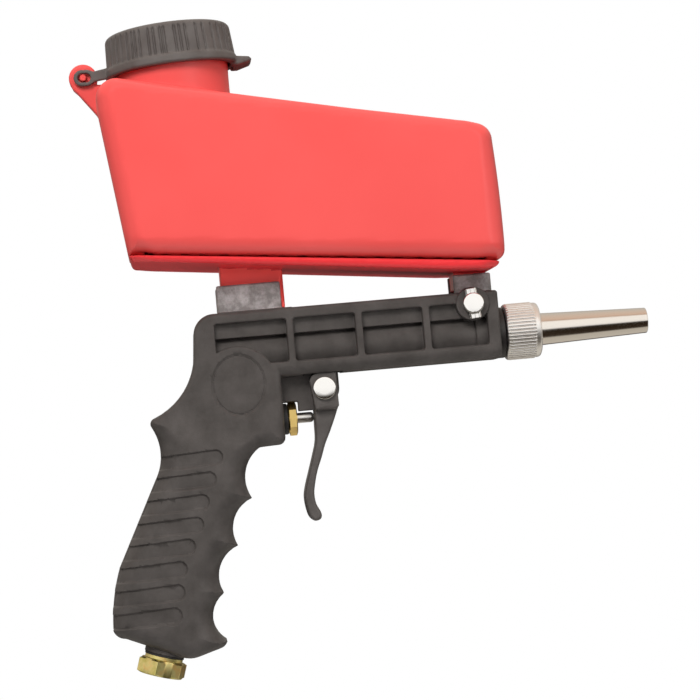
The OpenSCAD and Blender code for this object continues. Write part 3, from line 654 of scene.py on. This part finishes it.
def turned(name, profile, place, body, material, slot, nodes=(), sides=96, ripple=None, sharp=35):
    """Turns profile, a closed loop of (along, radius), about the place's own z axis."""
    verts, faces = [], []
    n = len(profile)
    for i in range(sides):
        a = 2 * math.pi * i / sides
        for along, r in profile:
            rr = r + (ripple(a, along, r) if ripple else 0)
            verts.append(place @ Vector((rr * math.cos(a), rr * math.sin(a), along)))
    for i in range(sides):
        j = (i + 1) % sides
        for k in range(n):
            m = (k + 1) % n
            faces.append((i * n + k, j * n + k, j * n + m, i * n + m))
    mesh = bpy.data.meshes.new(name)
    mesh.from_pydata([tuple(v * MM) for v in verts], [], faces)
    mesh.update()
    tidy(mesh)
    mesh.polygons.foreach_set("use_smooth", [True] * len(mesh.polygons))
    mesh.set_sharp_from_angle(angle=math.radians(sharp))
    return finish_piece(name, mesh, body, material, slot, *nodes)


def tidy(mesh):
    b = bmesh.new()
    b.from_mesh(mesh)
    bmesh.ops.remove_doubles(b, verts=b.verts, dist=1e-7)
    bmesh.ops.recalc_face_normals(b, faces=b.faces)
    b.to_mesh(mesh)
    b.free()
    mesh.update()


ALONG_X = Matrix.Translation((0, 0, BORE_Z)) @ Matrix.Rotation(math.radians(90), 4, "Y")
VALVE = Matrix.Translation((0, 0, VALVE_Z)) @ Matrix.Rotation(math.radians(90), 4, "Y")
INLET = Matrix.Rotation(TILT, 4, "Y")


def to_side(x, z):
    """A place whose own z runs towards -Y, from the middle plane."""
    return Matrix.Translation((x, 0, z)) @ Matrix.Rotation(math.radians(90), 4, "X")


def rounded_end(along, r, edge, sign, steps=4):
    """Profile points round the outer edge at one end."""
    return [(along - sign * edge * (1 - math.sin(t)), r - edge * (1 - math.cos(t)))
            for t in np.linspace(0, math.pi / 2, steps + 1)]


nozzle_profile = ([(160.6, 6.2), (160.8, 6.7), (172.5, 6.7), (172.7, 9.1), (174.1, 9.1),
                   (174.2, 7.1), (180.2, 7.1), (182.0, 7.05)]
                  + rounded_end(227.6, 5.6, 0.45, 1)
                  + [(227.4, 4.6), (226.8, 3.7), (222, 3.0), (169, 3.0)])
turned("nozzle_tube", nozzle_profile, ALONG_X, "nozzle", nozzle_mat, "nozzle_metal", ("nozzle",), 128)

NUT_TEETH = 48


def nut_ripple(a, along, r):
    if r < 11 or not 164.2 < along < 176.6:
        return 0
    wave = abs(math.sin(a * NUT_TEETH / 2))
    return -0.6 * (1 - wave) ** 2.6 * min(1, (176.6 - along) / 0.5, (along - 164.2) / 0.6)


nut_profile = [
    (163.6, 9.7), (163.6, 11.5), (163.9, 11.95), (164.25, 12.2), (164.8, 12.4), (165.1, 12.45),
    (165.4, 12.45), (170, 12.45), (175.6, 12.45), (175.9, 12.45), (176.3, 12.3), (176.6, 12.1),
    (176.9, 12.05), (177.6, 12.1), (178.4, 11.9), (178.9, 11.5), (179.2, 10.9), (179.3, 10.2),
    (179.3, 8.2), (179.1, 7.7), (178.7, 7.5), (174.6, 7.5), (174.5, 7.6), (174.5, 9.6)
]
turned("knurled_nut", nut_profile, ALONG_X, "nozzle_nut", nut_mat, "chrome", ("nozzle_nut",), NUT_TEETH * 10,
       nut_ripple)


def hexagon(name, start, end, flats, bore, place, turn, body, material, slot, nodes, extra=()):
    """A hexagon with chamfered corners and a bore, and turned steps beyond it."""
    sides = 180
    rise = flats / 2 / math.cos(math.pi / 6) - flats / 2
    # "h" rows follow the hexagon between its chamfers, and "r" rows are round
    loop = [("h", start, 0.0), ("h", start + 0.01, 0.05), ("h", start + 0.45 * rise, 1.0),
            ("h", end - 0.45 * rise, 1.0), ("h", end - 0.01, 0.05)]
    loop += [("r", along, r) for along, r in extra]
    loop += [("r", extra[-1][0] if extra else end, bore), ("r", start + 0.5, bore), ("r", start, bore + 0.5)]
    n = len(loop)
    verts, faces = [], []
    for i in range(sides):
        a = 2 * math.pi * i / sides
        full = flats / 2 / math.cos((a - turn + math.pi / 6) % (math.pi / 3) - math.pi / 6)
        for kind, along, v in loop:
            if kind == "r":
                r = v
            else:
                r = min(full, flats / 2 - 0.25 + v * (rise + 0.35))
            verts.append(place @ Vector((r * math.cos(a), r * math.sin(a), along)))
    for i in range(sides):
        j = (i + 1) % sides
        for k in range(n):
            m = (k + 1) % n
            faces.append((i * n + k, j * n + k, j * n + m, i * n + m))
    mesh = bpy.data.meshes.new(name)
    mesh.from_pydata([tuple(v * MM) for v in verts], [], faces)
    mesh.update()
    tidy(mesh)
    mesh.polygons.foreach_set("use_smooth", [True] * len(mesh.polygons))
    mesh.set_sharp_from_angle(angle=math.radians(25))
    return finish_piece(name, mesh, body, material, slot, *nodes)


# How far each hexagon is turned about its own axis
INLET_TURN, GLAND_TURN = math.radians(-73), math.radians(30)
hexagon("inlet_bush", 0, 6.9, 19, 5.72, INLET, INLET_TURN, "gun", zinc_mat, "zinc", ("inlet_fitting",),
        [(6.9, 8.5), (7.1, 8.25), (8.4, 8.25), (8.4, 7.5), (22, 7.5)])
turned("inlet_ring", [(8.4, 7.6), (8.4, 8.3), (8.6, 8.6), (9.2, 8.6), (9.4, 8.4), (9.4, 7.6)], INLET, "gun",
       rubber_mat, "rubber", ("inlet_washer",))
hexagon("gland_hex", 65.2, 69.0, 13, 2.3, VALVE, GLAND_TURN, "gun", brass_mat, "brass", ("gland_nut",))
turned("gland_ring", [(NOSE, 5.5), (NOSE, 6.8), (64.6, 6.8), (65.0, 6.5), (65.0, 5.5)], VALVE, "gun",
       rubber_mat, "rubber", ("gland_washer",))
STEM_R, STEM_TIP = 2.25, 76.4
turned("stem_pin", [(34, 0.01), (34, STEM_R)] + rounded_end(STEM_TIP, STEM_R, 1.4, 1) + [(STEM_TIP, 0.01)],
       VALVE, "stem", steel_mat, "steel", ("valve_stem",), 48)

dome = rounded_end(11.95, 4.95, 0.45, 1) + [(12.05, 2.5), (12.1, 0.01)]
shank = [(-11.9, 0.01), (-12.1, 2.2), (-11.8, 2.5), (10.2, 2.5), (10.2, 4.7), (10.3, 4.95)]
turned("pin_dome", shank + dome, to_side(PIN_X, PIN_Z), "gun", chrome_mat, "chrome", ("trigger_pin",), 64)


def ribbed_bar(x, y, z):
    """The bar behind the button, which the fingers turn, with three ribs along it."""
    turn = math.radians(6)
    across = (x - REG_X) * math.cos(turn) + (z - REG_Z) * math.sin(turn)
    up = (z - REG_Z) * math.cos(turn) - (x - REG_X) * math.sin(turn)
    ribs = 0.35 * np.cos(across * 2 * math.pi / 1.7)
    thick = 0.65 + ribs * step(0.2, 1.2, -y - 15)
    bar = np.maximum(rect(across, up, (-2.5, -6.6), (2.5, 6.6), 0.5), abs(y + 16.0) - thick)
    off = np.sqrt((x - REG_X) ** 2 + (z - REG_Z) ** 2)
    button = rod(off, y - off * off * 0.008, -18.5, -14, 4.5, 0.45)
    shaft = rod(off, y, -17, 17.4, 3.9, 0.3)
    return np.minimum(smin(bar, button, 0.2), shaft)


sculpt("regulator_knob", ribbed_bar, (142, -20, 141), (156.5, 18.2, 157), 0.24, 0.01,
       "regulator", chrome_mat, "chrome", "regulator_shaft")

# ---------- studio ----------


def plane(name, size, location, material, rotation=(0, 0, 0)):
    mesh = bpy.data.meshes.new(name)
    sx, sy = size[0] / 2, size[1] / 2
    mesh.from_pydata([(-sx, -sy, 0), (sx, -sy, 0), (sx, sy, 0), (-sx, sy, 0)], [], [(0, 1, 2, 3)])
    mesh.materials.append(material)
    obj = bpy.data.objects.new(name, mesh)
    obj.location = location
    obj.rotation_euler = rotation
    obj.visible_glossy = False
    bpy.context.scene.collection.objects.link(obj)
    return obj


floor_mat = plain("pale_floor", (0.86, 0.86, 0.86), 0.9)
plane("floor", (1.6, 1.6), (0.1, 0.2, -0.30), floor_mat)


def lamp(name, location, target, size, power):
    data = bpy.data.lights.new(name, "AREA")
    data.shape = "RECTANGLE"
    data.size, data.size_y = size
    data.energy = power
    obj = bpy.data.objects.new(name, data)
    obj.location = location
    obj.rotation_mode = "QUATERNION"
    obj.rotation_quaternion = (Vector(target) - Vector(location)).to_track_quat("-Z", "Y")
    obj.visible_glossy = False
    bpy.context.scene.collection.objects.link(obj)


lamp("key", (-0.25, -0.95, 0.85), (0.08, 0, 0.15), (0.45, 0.45), 14)
lamp("fill", (0.75, -0.9, 0.30), (0.10, 0, 0.15), (0.5, 0.8), 4)
lamp("top", (0.05, -0.15, 1.1), (0.08, 0, 0.15), (0.8, 0.5), 6)
lamp("back", (0.35, 1.05, 0.70), (0.08, 0, 0.15), (0.6, 0.6), 8)
ROOM = 0.9
SOFT_BELOW, SOFT_ABOVE = 0.02, 0.42

world = bpy.data.worlds.new("studio")
world.use_nodes = True
nodes, links = world.node_tree.nodes, world.node_tree.links
backdrop = nodes["Background"]
backdrop.inputs["Color"].default_value = (1, 1, 1, 1)
room = nodes.new("ShaderNodeBackground")
room.inputs["Strength"].default_value = ROOM
axes = nodes.new("ShaderNodeSeparateXYZ")
links.new(nodes.new("ShaderNodeTexCoord").outputs["Generated"], axes.inputs["Vector"])
front = nodes.new("ShaderNodeMath")
front.operation = "MULTIPLY"
front.inputs[1].default_value = -1
links.new(axes.outputs["Y"], front.inputs[0])
angle = nodes.new("ShaderNodeMath")
angle.operation = "ARCTAN2"
links.new(axes.outputs["Z"], angle.inputs[0])
links.new(front.outputs["Value"], angle.inputs[1])
turn = nodes.new("ShaderNodeMapRange")
turn.inputs["From Min"].default_value = -math.pi
turn.inputs["From Max"].default_value = math.pi
links.new(angle.outputs["Value"], turn.inputs["Value"])
sky = nodes.new("ShaderNodeValToRGB")
# Angle above the horizon in front of the object, and what a bright surface mirrors there
BANDS = [
    (-180, (0.07, 0.06, 0.06)), (-150, (0.09, 0.08, 0.07)), (-136, (0.66, 0.61, 0.53)),
    (-72, (0.60, 0.55, 0.47)), (-64, (0.040, 0.026, 0.016)), (-9, (0.022, 0.014, 0.008)),
    (-3, (1.2, 1.17, 1.12)), (50, (1.25, 1.20, 1.12)), (56, (0.50, 0.30, 0.19)), (63, (0.85, 0.62, 0.48)),
    (95, (0.82, 0.66, 0.54)), (130, (0.72, 0.66, 0.58)), (180, (0.40, 0.37, 0.33))
]
while len(sky.color_ramp.elements) < len(BANDS):
    sky.color_ramp.elements.new(0.5)
for e, (degrees, color) in zip(sky.color_ramp.elements, BANDS):
    e.position = (degrees + 180) / 360
    e.color = (*color, 1)
links.new(turn.outputs["Result"], sky.inputs["Fac"])
links.new(sky.outputs["Color"], room.inputs["Color"])
# Soft light that falls mostly from above
height = nodes.new("ShaderNodeMapRange")
height.inputs["From Min"].default_value = -1
height.inputs["To Min"].default_value = SOFT_BELOW
height.inputs["To Max"].default_value = SOFT_ABOVE
links.new(axes.outputs["Z"], height.inputs["Value"])
soft = nodes.new("ShaderNodeBackground")
soft.inputs["Color"].default_value = (1.0, 0.985, 0.97, 1)
links.new(height.outputs["Result"], soft.inputs["Strength"])
seen = nodes.new("ShaderNodeLightPath")
mirrored = nodes.new("ShaderNodeMixShader")
links.new(seen.outputs["Is Glossy Ray"], mirrored.inputs["Fac"])
links.new(soft.outputs["Background"], mirrored.inputs[1])
links.new(room.outputs["Background"], mirrored.inputs[2])
pick = nodes.new("ShaderNodeMixShader")
links.new(seen.outputs["Is Camera Ray"], pick.inputs["Fac"])
links.new(mirrored.outputs["Shader"], pick.inputs[1])
links.new(backdrop.outputs["Background"], pick.inputs[2])
links.new(pick.outputs["Shader"], nodes["World Output"].inputs["Surface"])
bpy.context.scene.world = world
bpy.context.scene.view_settings.view_transform = "Standard"
